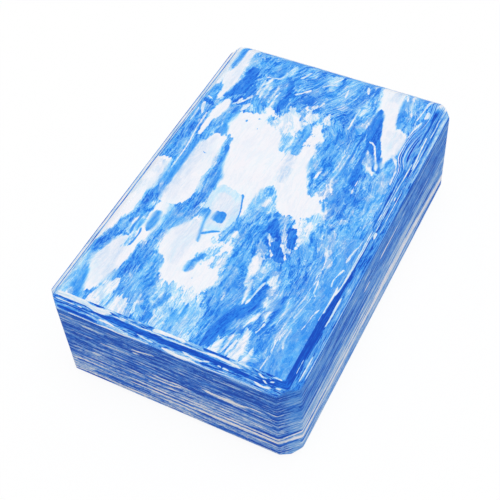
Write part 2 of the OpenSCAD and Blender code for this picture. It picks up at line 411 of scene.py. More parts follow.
WHITE_LINES = [
    [(58, 56.4, 57.4), (53, 59.6, 61.6), (48, 62.4, 63.3), (42, 63.6, 64.4), (35, 64.4, 65)],
    [(62.6, 40.2, 42), (60.4, 43.6, 45), (55, 46.4, 47.4), (49, 49.4, 50.4), (42, 52.4, 53.2)],
    [(112, 61, 62), (96, 59.3, 60.1), (90, 58.8, 59.5)],
    [(99, 62.6, 64.6), (95, 62.6, 65.4), (93, 62.4, 63.6)],
    [(90, 62.4, 63.1), (80, 60.2, 60.9), (75, 59.9, 60.4)],
    [(109, 45.8, 46.6), (103, 48, 48.8)],
    [(112, 49.8, 51), (103, 51, 52.4), (97, 52.6, 53.8), (91, 55, 55.6)],
    [(-8, 67, 67.8), (-14, 65.8, 66.6), (-20, 64.5, 65.5), (-27, 63.8, 64.5)],
    [(-31, 65.2, 65.8), (-36, 63.9, 64.4), (-40, 62.9, 63.4), (-45, 63.4, 63.9)],
    [(-44, 66.4, 67.4), (-50, 67, 67.8), (-57, 67.2, 67.9), (-67, 66.2, 66.8)],
    [(30, 24.2, 24.7), (22, 22.8, 23.4)],
    [(50, 31.2, 31.7), (36, 31.4, 32), (30, 31, 31.4)],
    [(48, 33.4, 34), (32, 33.6, 34.2), (24, 32.8, 33.3), (18, 35, 35.6), (14.5, 37.4, 37.9)],
    [(22, 30.6, 31), (18.6, 32.4, 32.9), (12, 34, 34.5), (6, 37.2, 37.7), (0, 40.2, 40.7)],
    [(-25, 18, 18.2), (-32, 21.4, 21.7), (-40, 26.4, 26.6)],
    [(-29, 27.6, 27.8), (-34, 31, 31.3), (-39, 33.6, 33.8)],
    [(46, -60.6, -59.8), (30, -59.6, -58.8), (18, -58, -57), (5, -57.6, -56.8), (-4, -57.2, -56.7)],
    [(31, 46.2, 46.8), (20, 46.5, 47.2)],
    [(-60, 64.2, 64.5), (-65, 62.4, 62.8), (-72, 61.8, 62.1), (-77, 60.9, 61.1)],
    [(-77, 56.2, 56.5), (-83, 56, 56.3), (-91, 57.8, 58)],
    [(98, -29.9, -29.2), (94, -30.6, -29.6), (91, -33, -31), (89.4, -37, -34), (88.8, -41.6, -38)],
    [(103.5, -16.6, -15.6), (99, -19, -17.6), (95.5, -20.6, -19.8)],
    [(89, -10.2, -9.4), (85, -13.6, -12.7), (81, -17.6, -16.9)],
    [(86, -39.8, -38.8), (71, -39.4, -38.6)],
    [(89, -36.4, -35.2), (80, -37.4, -36), (70, -37, -36)],
    [(83, -34, -33.2), (71, -34, -33.2)],
    [(84, -29.6, -29), (68, -29.8, -29)],
    [(80, -27.2, -26.6), (64, -27.6, -26.8)],
    [(66, -45.8, -44.8), (61, -47.6, -46.4), (58, -49.4, -48.6)],
    [(71, -40.8, -40), (66, -43, -41.6), (60, -47, -46)],
    [(64, -39.4, -38.6), (55, -42, -41)],
    [(59.6, -66.6, -65.6), (57.6, -63.4, -62)],
    [(54, -66, -65), (49, -65.6, -63.6), (44, -63, -62.4)],
    [(48, -67, -66.2), (36, -66.6, -65.8)],
    [(82, 1.8, 2.4), (77, 0.8, 1.4)],
    [(99, 11, 11.7), (91, 12, 12.7)],
    [(105, 21.8, 22.8), (99.6, 23.6, 24.4)],
    [(86, 24.2, 25), (66, 24.4, 25.4)],
    [(99.4, 0, 4.4), (97.6, -1.6, 0), (94, -5, -4.2)],
    [(-56, 31, 31.6), (-66, 28.8, 29.4), (-74, 26.8, 27.3)],
    [(-57, 23.6, 24.2), (-74, 25.4, 26)],
    [(-80, 42.4, 43.2), (-84, 41.4, 42.2), (-87, 40.2, 41)],
    [(-94, 30.6, 31.2), (-105, 29.6, 30.2)],
    [(-95, 33.8, 34.4), (-106, 31.8, 32.6)],
    [(-22, 51.8, 52), (-33, 54.2, 54.5), (-42, 55, 55.2), (-50, 54.2, 54.5), (-70, 52.3, 52.6),
     (-80, 51.6, 51.8)],
    [(-86, 51.4, 51.6), (-93, 53.2, 53.5), (-106, 52.3, 52.5)],
    [(-43, 55.7, 55.9), (-53, 56.8, 57.1), (-61, 55.9, 56.2), (-71, 54.2, 54.4)],
    [(-62, 47.1, 47.2), (-69, 48.3, 48.5), (-82, 48.4, 48.5)],
    [(-20, 47, 47.2), (-27, 47.8, 47.9)],
]

# Where the streaks of the top face break up into crumbs.
CRUMBLY_PLACES = [
    [(82, -42, 16), (74, -44, 17), (62, -43, 16), (52, -16, 15), (44, -9, 13)],
    [(26, 29, 46), (0, 32, 50), (-30, 30, 44)],
    [(-74, -24, 8), (-90, -22, 8), (-112, -20, 6)],
    [(-8, 14, 34), (-24, 14, 40), (-42, 20, 40)],
    [(-36, -11, 2), (-56, -13, 6), (-70, -12, 8)],
]

# The edges of the foam's layers on the sides and bevels. A stroke lists (way round, low z, high z),
# where the way round is x on the front side, y + 190 on the right side, and runs on through the corner.
SIDE_DEEPS = [
    [(-75, 61.8, 64), (-50, 62, 64), (-36, 61.6, 64.6), (-20, 62.6, 64), (0, 62.4, 63.6), (30, 62.6, 63.6),
     (60, 62.8, 63.8), (80, 63.6, 64.2)],
    [(46, 23.2, 24.4), (58, 23, 25.4), (72, 23.2, 25.2), (84, 23.6, 24.6)],
    [(-42, 13.6, 14.4), (-36, 13, 15), (-32, 13.6, 14.4)],
    [(12, 7.6, 8.4), (40, 7, 8.8), (66, 7.2, 8.4)],
    [(20, 37, 38), (40, 36.4, 38.4), (60, 36.8, 37.8)],
    [(-45, 25.6, 26.4), (-20, 25.2, 26.8), (4, 25.6, 26.2)],
    [(-75, 24, 25.4), (-50, 24.6, 26), (-36, 25, 25.6)],
    [(-60, 17.6, 18.6), (-46, 17.4, 18.8), (-38, 18, 18.6)],
    [(-50, 11.6, 13), (-35, 11.4, 12.8), (-20, 11, 12.2), (-8, 10.8, 11.4)],
    [(-75, 5.4, 6.6), (-50, 5, 6.2), (-20, 4.8, 5.6)],
    [(-8, 14.8, 15.6), (10, 14.6, 15.6), (30, 14.4, 15.8), (60, 14.2, 16), (80, 15.2, 16.4)],
    [(20, 2, 4.4), (45, 1.6, 4), (70, 2.2, 4)],
    [(-75, 39, 41), (-50, 39.4, 40.6)],
    [(-42, 38.2, 39.6), (-25, 38, 40), (-5, 38.4, 39.4)],
    [(-14, 29.4, 30.6), (-8, 29, 31), (-2, 29.4, 30.2)],
    [(-75, 29.2, 30.4), (-60, 29.4, 30.2)],
    [(-50, 33.2, 34.2), (-34, 33.4, 34.4)],
    [(-12, 19, 20), (14, 19.2, 20.2), (46, 19.8, 20.8), (76, 20.6, 21.6)],
    [(40, 30.6, 31.4), (56, 31, 31.8), (68, 31.4, 32)],
    [(-60, 50, 51), (-44, 49.6, 51.2), (-26, 50, 50.8)],
    [(20, 49, 50.4), (44, 49.4, 50.6)],
    [(84, 12.2, 14.2), (98, 12.4, 14.2), (110, 12.8, 13.8)],
    [(84, 35.6, 37), (110, 36.4, 38), (150, 37, 38.4), (190, 37, 38)],
    [(84, 47.4, 49.6), (110, 47.8, 49.8), (150, 48.2, 49.6)],
    [(100, 41, 42), (140, 41.4, 42.4), (170, 41.8, 42.4)],
    [(200, 45.6, 47), (230, 45.8, 47), (270, 45.4, 46.6), (300, 45.6, 46.4)],
    [(220, 39.4, 40.6), (260, 39, 40.4), (290, 39.2, 40)],
    [(230, 22.8, 24.8), (242, 22.8, 25), (254, 23.4, 24.6)],
    [(258, 21.6, 23.4), (268, 21.4, 23.6), (280, 21.6, 22.8)],
    [(246, 8.4, 9.6), (275, 7.6, 10.2), (304, 7.4, 10)],
]
SIDE_PALES = [
    [(-50, 56.2, 57.4), (-44, 56.3, 58.2), (-38, 56.6, 57.6)],
    [(-48.5, 31.6, 33), (-46, 31.2, 34), (-43.5, 32, 34.2)],
    [(-75, 43.6, 44.2), (-70, 41.6, 44), (-66, 43, 43.6)],
    [(-46, 36.4, 37.4), (-36, 36.2, 37.8), (-26, 37, 37.8)],
    [(-38, 28.2, 28.8), (-30, 28.4, 29.2), (-22, 28.2, 28.8)],
    [(-75, 14.6, 16.4), (-58, 15.4, 17), (-44, 16.4, 16.8)],
    [(-75, 9, 10), (-60, 10, 11.6), (-54, 10.6, 11.2)],
    [(-75, 20.4, 21.6), (-60, 20.8, 22)],
    [(38, 12.8, 13.4), (50, 12.8, 14.2), (66, 13, 13.8)],
    [(-20, 42.6, 43.4), (-8, 42.4, 43.2)],
    [(30, 57.4, 58), (44, 57.2, 58.2)],
    [(-75, 47.4, 48), (-60, 47, 47.8), (-46, 47.2, 47.8)],
    [(8, 29.6, 30.4), (30, 30, 30.8), (48, 30.2, 30.8)],
    [(10, 32.8, 33.4), (36, 33.2, 33.9), (62, 33.6, 34.2)],
    [(16, 26.8, 27.6), (40, 27.2, 28.2), (70, 27.4, 28.4)],
    [(212, 51.6, 52.6), (218, 51.6, 52.8), (226, 51.8, 52.4)],
    [(236, 65.2, 65.7), (304, 65.2, 65.9)],
    [(164, 58, 58.6), (168, 57.6, 59.2), (172, 57.8, 58.6)],
    [(92, 54.6, 55.4), (95, 54.2, 55.8), (98, 54.8, 55.2)],
    [(244, 59.4, 60), (262, 59.4, 60.8), (280, 59.6, 60.8), (295, 59.6, 60.2)],
    [(84, 32.2, 34.2), (100, 32, 34.4), (125, 32.4, 34), (150, 32.8, 33.6), (190, 33, 34)],
    [(200, 29.6, 31.8), (230, 29.4, 32), (255, 28.4, 30.6), (285, 26, 28)],
    [(84, 25.8, 28.4), (120, 25.6, 28), (200, 26, 28.2), (240, 25.6, 27.2)],
    [(84, 10.2, 12.4), (96, 10.4, 12.4), (108, 11, 12)],
    [(100, 5.4, 6.6), (120, 5.6, 7)],
    [(84, 4.4, 6.4), (98, 4.6, 6)],
    [(150, 9, 11), (190, 9, 12), (240, 8.4, 11)],
]
SIDE_WHITES = [
    [(-19, 53.2, 53.9), (-12, 54.4, 55.4), (-6, 56.1, 56.7)],
    [(-19.5, 50.6, 51.4), (-17.8, 50.2, 51.8), (-16.5, 50.9, 51.7)],
    [(-41, 46.2, 46.6), (-33, 45.9, 47.1), (-24, 46, 47.2), (-21, 46.4, 46.8)],
    [(21, 42.8, 43.4), (25, 41.4, 43.4), (32, 40.4, 43.2), (38, 40.6, 43.6), (43, 41, 43.2), (50, 42.9, 44),
     (58, 43.3, 43.8)],
    [(40, 39.6, 40), (46, 38.9, 39.5), (54, 38.6, 39.6), (64, 38.9, 39.3)],
    [(-11, 36.1, 36.7), (0, 34.8, 35.8), (5, 35.6, 37), (14, 34.8, 35.4)],
    [(-14, 32.2, 32.8), (-6, 31.9, 33.1), (2, 32, 33.2), (8, 34.2, 35)],
    [(-12, 26.9, 27.5), (-4, 27, 27.9), (4, 28, 29.2), (6, 28.6, 29)],
    [(-62, 19.4, 20), (-50, 19.6, 20.6), (-35, 19.9, 21), (-20, 21, 22.6), (0, 20.6, 21.6),
     (30, 21.4, 22.8), (66, 21.2, 22.4), (90, 22.8, 24), (130, 22.4, 23.8), (170, 22, 23.4),
     (220, 21.4, 22.8), (250, 20, 21)],
    [(-26, 17.2, 17.8), (-15, 17.1, 18.5), (5, 16.6, 18.2), (30, 16.8, 19.2), (60, 17.4, 19.6),
     (100, 17, 19.8), (140, 15.8, 19.4), (180, 16, 20.8), (200, 16, 21.4), (220, 15.6, 21),
     (240, 14.8, 20.2), (260, 13.4, 18.6), (275, 12.2, 17.4), (293, 10.8, 15.8), (306, 10.4, 14.8)],
    [(-10, 13, 13.4), (-4, 12.8, 13.8), (4, 13.2, 14.4), (14, 13, 13.8)],
    [(-75, 3.6, 4.6), (-62, 7.2, 8.4), (-35, 7.6, 9), (-5, 7.6, 8.8), (14, 6.4, 7.8), (22, 6.2, 7)],
    [(-30, 3, 3.8), (-10, 2.8, 3.6), (8, 3.4, 4)],
    [(188, 50.8, 51.4), (192, 50.8, 52.4), (206, 51.2, 52.4), (212, 51.6, 52.2)],
    [(165, 47.6, 48.4), (169, 47.2, 48.8), (173, 47.6, 48.2)],
]
BEVEL_DEEPS = [
    # the front's deep band, round the corner and along the right bevel
    [(-66, 68.1, 68.55), (-50, 68.15, 68.55), (-44, 67.7, 67.9), (-40, 67.05, 67.8), (-37, 66.9, 68),
     (-33, 66.9, 68.45), (0, 66.8, 68.25), (12, 66.9, 68.45), (40, 67.05, 68.15), (54, 66.9, 67.8),
     (57, 67.15, 68.45), (61, 67.5, 69.3), (70, 67.8, 69.8), (80, 67.8, 70.3), (128, 67.75, 70.2),
     (133, 67.8, 69.8), (141, 67.9, 69.4), (149, 67.9, 68.7), (165, 68, 68.5), (185, 68.3, 68.6)],
    [(-64, 65.15, 66.05), (-54, 65.05, 65.95), (-40, 65.15, 65.7)],
    [(-60, 66.6, 67.05), (-46, 66.5, 66.9)],
    [(-51, 69.9, 70.35), (-44, 70, 70.35)],
    [(-39, 69.9, 70.35), (-28, 69.85, 70.35)],
    [(-35, 68.9, 69.35), (-29, 68.85, 69.25)],
    [(-13, 69.8, 70.35), (-8, 69.8, 70.35)],
    [(22, 65.5, 66.05), (32, 65.6, 66.15)],
    [(-20, 64.05, 64.7), (-10, 64.05, 64.85), (0, 64.05, 64.95)],
    [(22, 69.35, 69.9), (36, 69.35, 69.8)],
    # the right bevel
    [(88, 64.3, 64.7), (140, 64.3, 64.75), (192, 64.4, 64.9), (306, 64.4, 64.95)],
    [(90, 65.4, 65.55), (190, 65.4, 65.55)],
    [(200, 66.4, 66.6), (250, 66.6, 66.85), (288, 66.6, 66.85)],
    [(205, 67.9, 68.1), (240, 67.9, 68.05)],
    [(265, 67.35, 67.5), (288, 67.4, 67.6)],
    [(190, 68.85, 68.97), (240, 68.75, 68.95)],
    [(192, 69.4, 69.65), (240, 69.35, 69.65)],
    [(260, 69, 69.4), (285, 68.7, 69.5), (305, 68.4, 69.6)],
    [(240, 66.3, 66.5), (262, 66.4, 66.65), (303, 66.55, 66.8)],
    [(258, 67.7, 67.95), (285, 67.65, 68), (303, 67.7, 68.1)],
    [(270, 68.2, 68.4), (300, 68.2, 68.4)],
    [(150, 66.9, 67.1), (185, 66.9, 67.1)],
    [(100, 67.5, 67.7), (118, 67.3, 67.5)],
]
BEVEL_WHITES = [
    # the front bevel, from its top down
    [(-70, 68.55, 69.65), (-62, 68.55, 69.65), (-60, 68.55, 70.45), (-52, 68.55, 70.2), (-47, 68.35, 69.45),
     (-42, 67.9, 69.35), (-39, 67.9, 69.35), (-36.5, 68.35, 69.55), (-34, 68.7, 69.25)],
    [(-8, 68.9, 69.55), (-4, 68.95, 69.9), (1, 69.2, 70.2), (6, 69.3, 70.35), (10, 69.1, 70)],
    [(-32, 68.55, 68.75), (-17, 68.5, 68.8), (-5, 68.45, 68.9), (0, 68.3, 68.7), (10, 68.5, 68.9),
     (20, 68.5, 68.9), (25, 68.7, 69.2), (30, 68.85, 69.4), (37, 68.5, 69.2), (42, 68.4, 69)],
    [(-67, 67.45, 67.8), (-62, 67.35, 67.75), (-56, 67.45, 67.8)],
    [(-53, 67.35, 67.8), (-51, 67.35, 67.8)],
    [(-38.5, 66.15, 66.7), (-34, 66, 66.65), (-30, 66.05, 66.3), (-27, 65.95, 66.15)],
    [(-16, 66.6, 66.8), (-12, 66.15, 66.5), (-6, 66.05, 66.3)],
    [(11, 66.8, 67.05), (15, 66.25, 66.9), (19, 66.05, 66.5), (23, 66.15, 66.6), (26, 66.6, 67.05)],
    [(31.5, 66.6, 67.05), (32.5, 66.6, 67.05)],
    [(35, 66.5, 67.05), (37, 66.5, 67.05)],
    [(52.5, 66.5, 66.8), (57, 65.95, 66.5), (61, 66.4, 66.9)],
    [(64.8, 67, 67.5), (66, 67, 67.5)],
    [(-57, 64.6, 64.9), (-50, 64.45, 64.85), (-39, 64.4, 64.85), (-35, 64.6, 65.15), (-31, 64.7, 65.2),
     (-27, 64.5, 64.95), (-23, 64.5, 64.95), (-20, 64.95, 65.25), (-8, 65.15, 65.3)],
    [(0, 65.6, 65.95), (5, 65.05, 65.8), (9, 64.6, 65.6), (12, 64.6, 65.6), (17, 64.9, 65.5),
     (24, 64.8, 65.1), (32, 64.8, 65.15), (38, 65.05, 65.25), (46, 65.05, 65.15), (58, 64.7, 64.85)],
    # wisps near the corner
    [(53.5, 69, 69.35), (56, 68.45, 68.8)],
    [(56.6, 67.8, 68.15), (58.6, 67.35, 67.7)],
    [(58.8, 69.1, 69.45), (60, 68.8, 69.1)],
    [(60.6, 68.1, 68.4), (62, 68.5, 68.8)],
    [(62, 69.5, 69.8), (65.5, 69.5, 69.8)],
    # the right bevel, from its front end back
    [(86, 66.3, 66.45), (93, 66.15, 66.5), (103, 66.2, 66.45)],
    [(90, 65.02, 65.13), (140, 65, 65.15), (160, 65.02, 65.12)],
    [(90, 68.2, 68.3), (98, 68.2, 68.35)],
    [(122, 67.5, 67.8), (131, 67.3, 67.8), (136, 67.3, 67.9), (142, 67.3, 67.7)],
    [(127, 69.95, 70.3), (133, 69.8, 70.1), (141, 69.6, 70), (146, 69.65, 70.3)],
    [(141, 69.55, 69.8), (146, 69.1, 69.3), (160, 68.9, 69.1), (191, 69, 69.15)],
    [(150, 68.9, 69.05), (165, 68.6, 68.8), (190, 68.5, 68.65)],
    [(187, 67.3, 68), (190, 67.3, 68.1)],
    [(192, 69, 69.15), (226, 69, 69.15)],
    [(195, 68.58, 68.7), (213, 68.5, 68.66), (236, 68.2, 68.42), (246, 68.25, 68.45)],
    [(192, 68.15, 68.25), (213, 68.15, 68.25)],
    [(217, 67.4, 67.9), (219, 67.5, 68)],
    [(192, 66.7, 66.85), (242, 66.7, 66.8)],
    [(220, 67.1, 67.17), (265, 67.08, 67.2), (294, 67.12, 67.22)],
    [(243, 67.45, 67.7), (251, 67.55, 67.95), (259, 67.8, 68.3), (269, 67.9, 68.4)],
]


class Layer(NamedTuple):
    """Streaks of one tone, laid over the layers before it."""

    tone: float  # 0 is the deepest blue, 1 is white
    streak: float  # how far the foam's fibres move that tone
    softness: float  # half the width of the edge, mm
    ragged: float  # how far the edge wanders, mm
    tint: float  # 0 leans to lavender, 1 to cyan
    strokes: list
    fringe: float = 0.0  # the widest pale fringe outside the edge, mm


FACE_LAYERS = [
    Layer(0.38, 0.9, 2.5, 5.0, 0.7, LIGHTER_BLUES),
    Layer(0.19, 0.8, 1.8, 4.0, 0.4, DEEPER_BLUES),
    Layer(0.29, 0.8, 2.0, 1.5, 0.5, BUNDLE),
    Layer(0.24, 0.5, 3.0, 2.0, 0.5, CALM_BLUES),
    Layer(0.975, 0.13, 0.4, 1.8, 0.4, WHITES, fringe=2.2),
    Layer(0.80, 0.4, 2.6, 1.2, 0.1, VEILS),
    Layer(0.80, 0.25, 0.8, 0.8, 0.9, EYE_VEIL),
    Layer(0.90, 0.15, 4.0, 0.5, 0.1, HAZES),
    Layer(0.56, 1.1, 0.8, 2.4, 0.9, PALE_BLUES),
    Layer(0.29, 0.9, 0.6, 2.2, 0.7, AZURES),
    Layer(0.19, 0.4, 0.5, 0.6, 0.6, EYES),
    Layer(0.09, 0.3, 0.5, 1.3, 0.2, DEEP_BLUES),
    Layer(0.30, 1.0, 0.3, 0.3, 0.4, RIM),
    Layer(0.55, 1.0, 1.1, 1.8, 0.0, KNOT_VEILS),
    Layer(0.86, 0.7, 0.5, 2.0, 0.4, CRUMBLY_WHITES, fringe=1.2),
    Layer(0.20, 0.2, 0.3, 0.2, 0.6, DARK_LINES),
    Layer(0.85, 0.6, 0.25, 0.5, 0.3, WHITE_LINES),
]
SIDE_LAYERS = [
    Layer(0.02, 0.3, 0.3, 0.5, 0.3, SIDE_DEEPS),
    Layer(0.60, 0.6, 0.35, 0.6, 0.3, SIDE_PALES),
    Layer(0.90, 0.5, 0.3, 0.6, 0.2, SIDE_WHITES),
    Layer(0.00, 0.12, 0.12, 0.15, 0.1, BEVEL_DEEPS),
    Layer(0.90, 0.3, 0.12, 0.15, 0.3, BEVEL_WHITES),
]
GROUND_TONE, GROUND_TINT = 0.24, 0.75
FRINGE_TONE, FRINGE_TINT = 0.56, 0.9
DEEPEST_FIBRE = -0.17


class Way(NamedTuple):
    """The spans of a surface's coordinates, and how strokes end on it, in mm."""

    start: float
    length: float
    low: float
    width: float
    tip: float  # the length of a stroke's tapered end
    gap: float  # how far its edges cross past there, so that it stays shut


FACE_WAY = Way(-125, 250, -90, 180, tip=1.2, gap=4.0)
SIDE_WAY = Way(-95, 420, -20, 110, tip=4.0, gap=1.5)


def flat_faces():
    """The block's flat faces: their outward normals and their distances from its centre."""
    chamfer_corner = HALF - [CORNER_CHAMFER, 0, 0]
    bevel_corner = HALF - [0, 0, BEVEL_DROP]
    faces = [
        ((1, 0, 0), HALF),
        ((0, 1, 0), HALF),
        ((0, 0, 1), HALF),
        ((1, 1, 0), chamfer_corner),
        ((BEVEL_DROP, 0, BEVEL_INSET), bevel_corner),
        ((0, BEVEL_DROP, BEVEL_INSET), bevel_corner),
    ]
    mirrored = {}
    for normal, corner in faces:
        unit = np.array(normal) / np.linalg.norm(normal)
        for signs in np.ndindex(2, 2, 2):
            turned = unit * (1 - 2 * np.array(signs))
            mirrored[tuple(turned + 0.0)] = unit @ corner
    return np.array(list(mirrored)), np.array(list(mirrored.values()))


def outside(points, normals, distances):
    """How far each point is outside the block, with its edges rounded, and which way is out."""
    reach = EDGE_SHARPNESS * (points @ normals.T - distances)
    top = reach.max(axis=1, keepdims=True)
    weights = np.exp(reach - top)
    total = weights.sum(axis=1, keepdims=True)
    level = (top + np.log(total))[:, 0] / EDGE_SHARPNESS
    out = (weights / total) @ normals
    return level, out / np.linalg.norm(out, axis=1, keepdims=True)


def lattice_lines(axis):
    """Where the mesh's lines cross one axis."""
    inner = HALF[axis] - RIM_WIDTH[axis]
    steps = round(2 * inner / FLAT_STEP[axis])
    flat = np.linspace(-inner, inner, steps + 1)
    rim = inner + RIM_WIDTH[axis] * np.arange(1, RIM_LINES + 1) / RIM_LINES
    return np.concatenate([-rim[::-1], flat, rim])


def box_lattice():
    """Points all over a box of the block's size, and the four-sided faces between them."""
    lines = [lattice_lines(axis) for axis in range(3)]
    counts = [len(line) for line in lines]
    grid = np.stack(np.meshgrid(*lines, indexing="ij"), axis=-1)
    on_skin = np.ones(counts, bool)
    on_skin[1:-1, 1:-1, 1:-1] = False
    number = np.full(counts, -1)
    number[on_skin] = np.arange(on_skin.sum())
    faces = []
    for axis in range(3):
        for end in (0, -1):
            sheet = np.take(number, end, axis=axis)
            corners = [sheet[:-1, :-1], sheet[1:, :-1], sheet[1:, 1:], sheet[:-1, 1:]]
            quads = np.stack(corners, axis=-1).reshape(-1, 4)
            outward = (end == -1) != (axis == 1)
            faces.append(quads if outward else quads[:, ::-1])
    return grid[on_skin], np.concatenate(faces)


def onto_block(points):
    """The points of the lattice moved onto the rounded block, and the way out at each."""
    normals, distances = flat_faces()
    inner = np.clip(points, RIM_WIDTH - HALF, HALF - RIM_WIDTH)
    rays = points - inner
    rays /= np.linalg.norm(rays, axis=1, keepdims=True)
    near = np.zeros(len(points))
    far = np.full(len(points), 2 * RIM_WIDTH.max())
    for _ in range(HALVINGS):
        middle = (near + far) / 2
        level, _ = outside(inner + rays * middle[:, None], normals, distances)
        near = np.where(level < 0, middle, near)
        far = np.where(level < 0, far, middle)
    surface = inner + rays * near[:, None]
    return surface, outside(surface, normals, distances)[1]


def relief(point):
    """How far the foam lies below a true surface at a point."""
    wave = noise.noise(Vector(point / WAVE_SIZE))
    strata = noise.noise(Vector(point / STRATA_SIZE))
    return WAVE_DEPTH * (1 + wave) / 2 + STRATA_DEPTH * (1 + strata) / 2


def block_mesh():
    """The block with rounded edges, a face for each cell of the lattice."""
    lattice, faces = box_lattice()
    surface, out = onto_block(lattice)
    depth = np.array([relief(point) for point in surface])
    points = surface - out * depth[:, None] + CENTRE
    mesh = bpy.data.meshes.new("marbled_block")
    mesh.from_pydata((points * MM).tolist(), [], faces.tolist())
    mesh.shade_smooth()
    mesh.update()
    return mesh


def operator(operation, swapped=False):
    """The method of a term that adds a math node for this operation."""

    def method(term, other):
        values = (other, term) if swapped else (term, other)
        return calculate(operation, *values)

    return method


class Term:
    """A number or colour that shader nodes work out. Arithmetic on terms adds the nodes for it."""

    def __init__(self, tree, socket):
        self.tree = tree
        self.socket = socket

    __add__ = __radd__ = operator("ADD")
    __sub__ = operator("SUBTRACT")
    __rsub__ = operator("SUBTRACT", swapped=True)
    __mul__ = __rmul__ = operator("MULTIPLY")
    __truediv__ = operator("DIVIDE")


def feed(socket, value):
    """Gives a node's input a term or a plain value."""
    if isinstance(value, Term):
        value.tree.links.new(value.socket, socket)
    else:
        socket.default_value = value


def add_node(tree, kind, inputs, output=0, **settings):
    """An output of a new shader node, as a term."""
    node = tree.nodes.new("ShaderNode" + kind)
    for name, value in settings.items():
        setattr(node, name, value)
    for socket, value in inputs.items():
        feed(node.inputs[socket], value)
    return Term(tree, node.outputs[output])


def calculate(operation, *values):
    """A math node's output. At least one of the values is a term."""
    tree = next(value.tree for value in values if isinstance(value, Term))
    return add_node(tree, "Math", dict(enumerate(values)), operation=operation)


least = partial(calculate, "MINIMUM")
most = partial(calculate, "MAXIMUM")
size = partial(calculate, "ABSOLUTE")


def rise(value, start, end):
    """0 up to start, 1 from end on, and smooth between them."""
    inputs = {"Value": value, "From Min": start, "From Max": end}
    return add_node(value.tree, "MapRange", inputs, interpolation_type="SMOOTHSTEP")


def halves(value, blur):
    """-0.5 where a noise is below 0 and 0.5 where it is above, with a blur between them."""
    return rise(value, -blur, blur) - 0.5


def veins(value, width):
    """1 along the lines where a noise passes through 0, falling to 0 beside them."""
    return rise(size(value), width, 0.0)


def mix(share, low, high):
    """A number between low and high. A Mix node's sockets 2 and 3 are the ones for numbers."""
    return add_node(share.tree, "Mix", {0: share, 2: low, 3: high}, data_type="FLOAT")


def mix_colour(share, low, high):
    """A colour between low and high, by the Mix node's sockets for colours."""
    return add_node(share.tree, "Mix", {0: share, 6: low, 7: high}, output=2, data_type="RGBA")


def parts(vector, kind="XYZ"):
    """The three numbers of a vector, or of a colour where the kind is Color."""
    node = add_node(vector.tree, "Separate" + kind, {0: vector}).socket.node
    return [Term(vector.tree, socket) for socket in node.outputs]


def noise_node(output, x, y, z, detail, roughness):
    """One output of a noise texture at a place."""
    place = add_node(x.tree, "CombineXYZ", {0: x, 1: y, 2: z})
    inputs = {"Vector": place, "Scale": 1.0, "Detail": detail, "Roughness": roughness}
    return add_node(x.tree, "TexNoise", inputs, output=output)


def cloud(x, y, z, detail=2.0, roughness=0.5):
    """A noise about 0 and mostly within 0.5 of it, with cells about 1 long."""
    return 2 * noise_node("Fac", x, y, z, detail, roughness) - 1


def clouds(x, y, z, detail=2.0, roughness=0.5):
    """Three separate noises of that kind over the same place."""
    colour = noise_node("Color", x, y, z, detail, roughness)
    return [2 * part - 1 for part in parts(colour, "Color")]


def curve(value, knots):
    """A smooth curve through the knots, which are pairs within 0 to 1."""
    term = add_node(value.tree, "FloatCurve", {"Value": value})
    mapping = term.socket.node.mapping
    points = mapping.curves[0].points
    for _ in knots[2:]:
        points.new(0.5, 0.5)
    for point, knot in zip(points, knots):
        point.location = knot
        point.handle_type = "AUTO_CLAMPED"
    mapping.update()
    return term


def linear(colour):
    """Blender's linear colour for red, green and blue of 0 to 255."""
    shares = [channel / 255 for channel in colour]
    return [c / 12.92 if c <= 0.04045 else ((c + 0.055) / 1.055) ** 2.4 for c in shares]


def ramp(value, places, colours):
    """The colour at a value between the places of a row of colours."""
    term = add_node(value.tree, "ValToRGB", {0: value})
    elements = term.socket.node.color_ramp.elements
    for _ in places[2:]:
        elements.new(0.5)
    for element, place, colour in zip(elements, places, colours):
        element.position = place
        element.color = (*linear(colour), 1.0)
    return term


def shut_stroke(stroke, way):
    """The stroke in rising order, with a row past each end where its edges have crossed."""
    rows = sorted(stroke)
    (start, *first), (end, *last) = rows[0], rows[-1]
    first_middle, last_middle = sum(first) / 2, sum(last) / 2
    before = (start - way.tip, first_middle + way.gap, first_middle - way.gap)
    after = (end + way.tip, last_middle + way.gap, last_middle - way.gap)
    return [before, *rows, after]


def stroke_lanes(strokes, way):
    """The strokes shared out to as few lanes as hold them, with no two beside each other in one lane."""
    lanes = []
    for stroke in sorted(shut_stroke(stroke, way) for stroke in strokes):
        free = [lane for lane in lanes if lane[-1][0] < stroke[0][0]]
        if free:
            free[0].extend(stroke)
        else:
            lanes.append(list(stroke))
    return lanes


def depth_inside(along, across, strokes, way):
    """How far inside the nearest stroke a place is, in mm: below 0 outside all of them."""
    share = (along - way.start) / way.length
    deepest = None
    for lane in stroke_lanes(strokes, way):
        edges = []
        for side in (1, 2):
            knots = [((row[0] - way.start) / way.length, (row[side] - way.low) / way.width) for row in lane]
            edges.append(curve(share, knots) * way.width + way.low)
        inside = least(across - edges[0], edges[1] - across)
        deepest = inside if deepest is None else most(deepest, inside)
    return deepest


